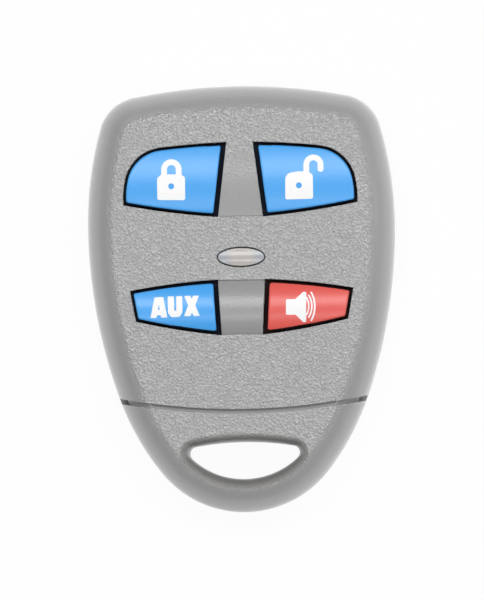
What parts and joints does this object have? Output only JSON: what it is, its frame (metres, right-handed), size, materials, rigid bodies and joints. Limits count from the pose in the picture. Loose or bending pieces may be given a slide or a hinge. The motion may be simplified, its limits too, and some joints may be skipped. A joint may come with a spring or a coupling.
{
  "type": "car keyless entry remote",
  "caption": "Hand-held car remote with rounded grey two-shell case, crowned push buttons, oval indicator lens and a key-ring end.",
  "frame": {"origin": "on the flat rear face, under the middle of the outline", "axes": "+Z out of the button face, +Y towards the top end, away from the key-ring end, +X to the right as the face is read"},
  "size_m": [0.0432, 0.06, 0.013],
  "materials": {
    "case_plastic": "fine spark-eroded grain on the face, smooth satin on the rounded edges",
    "blue_cap": "satin gloss blue with white printed symbols",
    "red_cap": "satin gloss red with a white printed symbol",
    "screw_steel": "zinc plated",
    "silicone": "matt black silicone",
    "lens_plastic": "milky clear",
    "led_resin": "tinted clear resin",
    "board_laminate": "green solder mask",
    "copper": "bare copper track",
    "chip_epoxy": "black moulding compound",
    "chip_ceramic": "tan ceramic",
    "tinned_metal": "bright tin plate",
    "cell_steel": "nickel plated",
    "cell_seal_plastic": "black nylon",
    "pellet": "pressed powder, stands in for the cell's chemistry",
    "plunger_plastic": "natural nylon",
    "switch_plastic": "black nylon"
  },
  "bodies": {
    "case": {"front_cover": "case_plastic", "ring_cover": "case_plastic", "rear_cover": "case_plastic", "case_screws": "screw_steel", "button_gasket": "silicone", "indicator_lens": "lens_plastic", "indicator_led": "led_resin", "circuit_board": "board_laminate", "antenna_trace": "copper", "encoder_chip": "chip_epoxy", "encoder_legs": "tinned_metal", "resonator_can": "tinned_metal", "transistor": "chip_epoxy", "chip_resistors": "chip_epoxy", "chip_capacitors": "chip_ceramic", "cell_can": "cell_steel", "cell_seal": "cell_seal_plastic", "cell_cap": "cell_steel", "cell_pellet": "pellet", "positive_clip": "tinned_metal", "negative_contact": "tinned_metal", "switch_legs": "tinned_metal", "lock_switch_base": "switch_plastic", "lock_switch_plate": "tinned_metal", "lock_dome": "tinned_metal", "unlock_switch_base": "switch_plastic", "unlock_switch_plate": "tinned_metal", "unlock_dome": "tinned_metal", "aux_switch_base": "switch_plastic", "aux_switch_plate": "tinned_metal", "aux_dome": "tinned_metal", "panic_switch_base": "switch_plastic", "panic_switch_plate": "tinned_metal", "panic_dome": "tinned_metal"},
    "lock_button": {"lock_cap": "blue_cap", "lock_plunger": "plunger_plastic"},
    "unlock_button": {"unlock_cap": "blue_cap", "unlock_plunger": "plunger_plastic"},
    "aux_button": {"aux_cap": "blue_cap", "aux_plunger": "plunger_plastic"},
    "panic_button": {"panic_cap": "red_cap", "panic_plunger": "plunger_plastic"}
  },
  "joints": [
    {"name": "lock_press", "type": "slide", "parent": "case", "child": "lock_button", "axis": [0, 0, -1], "range_m": [0, 0.0003], "stiffness_N_per_m": 4000, "springref_m": -0.0002, "deforming": ["lock_dome"]},
    {"name": "unlock_press", "type": "slide", "parent": "case", "child": "unlock_button", "axis": [0, 0, -1], "range_m": [0, 0.0003], "stiffness_N_per_m": 4000, "springref_m": -0.0002, "deforming": ["unlock_dome"]},
    {"name": "aux_press", "type": "slide", "parent": "case", "child": "aux_button", "axis": [0, 0, -1], "range_m": [0, 0.0003], "stiffness_N_per_m": 4000, "springref_m": -0.0002, "deforming": ["aux_dome"]},
    {"name": "panic_press", "type": "slide", "parent": "case", "child": "panic_button", "axis": [0, 0, -1], "range_m": [0, 0.0003], "stiffness_N_per_m": 4000, "springref_m": -0.0002, "deforming": ["panic_dome"]}
  ]
}
